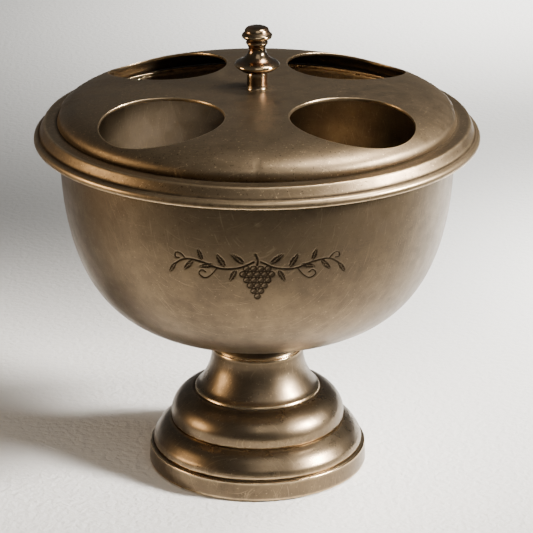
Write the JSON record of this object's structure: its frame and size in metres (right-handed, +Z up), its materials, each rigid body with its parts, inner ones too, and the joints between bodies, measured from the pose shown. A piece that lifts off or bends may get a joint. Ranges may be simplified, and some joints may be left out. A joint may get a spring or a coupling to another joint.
{
  "type": "footed wine cooler",
  "caption": "Round footed wine cooler in antiqued brass: a deep bowl on a stepped pedestal, with a domed lift-off lid pierced by bottle holes and lifted by a turned finial.",
  "frame": {"origin": "centre of the felt's underside, where the foot stands on the table", "axes": "+Z up along the axis of the bowl and the finial; X and Y lie midway between neighbouring bottle holes, which sit on the diagonals"},
  "size_m": [0.393, 0.393, 0.4087],
  "materials": {
    "aged_brass": "spun brass sheet with a brown antique patina, rubbed to a satin sheen and left dark in the grooves",
    "bright_brass": "turned solid brass, lightly antiqued and polished",
    "zinc_steel": "zinc plated fasteners",
    "seal_rubber": "moulded black rubber",
    "felt": "pressed green felt"
  },
  "bodies": {
    "stand": {"base_felt": "felt", "foot_plinth": "aged_brass", "foot_lower_ring": "aged_brass", "foot_upper_ring": "aged_brass", "foot_neck": "aged_brass", "foot_collar": "aged_brass", "base_plate": "aged_brass", "base_washer": "zinc_steel", "base_nut": "zinc_steel", "tie_rod": "zinc_steel", "bowl": "aged_brass", "bowl_rim_wire": "aged_brass", "bowl_seal": "seal_rubber", "bowl_clamp_washer": "bright_brass", "bowl_cap_nut": "bright_brass"},
    "finial": {"finial_stem": "bright_brass", "finial_knob": "bright_brass", "finial_stud": "zinc_steel", "finial_washer": "zinc_steel", "finial_nut": "zinc_steel"},
    "lid": {"lid_dome": "aged_brass", "lid_rim": "aged_brass", "lid_locating_ring": "aged_brass"}
  },
  "joints": [
    {"name": "lid_lift", "type": "slide", "parent": "stand", "child": "finial", "axis": [0, 0, 1], "range_m": [0, 0.25]},
    {"name": "lid_turn", "type": "hinge", "parent": "finial", "child": "lid", "pos_m": [0, 0, 0.35], "axis": [0, 0, 1], "continuous": true}
  ]
}
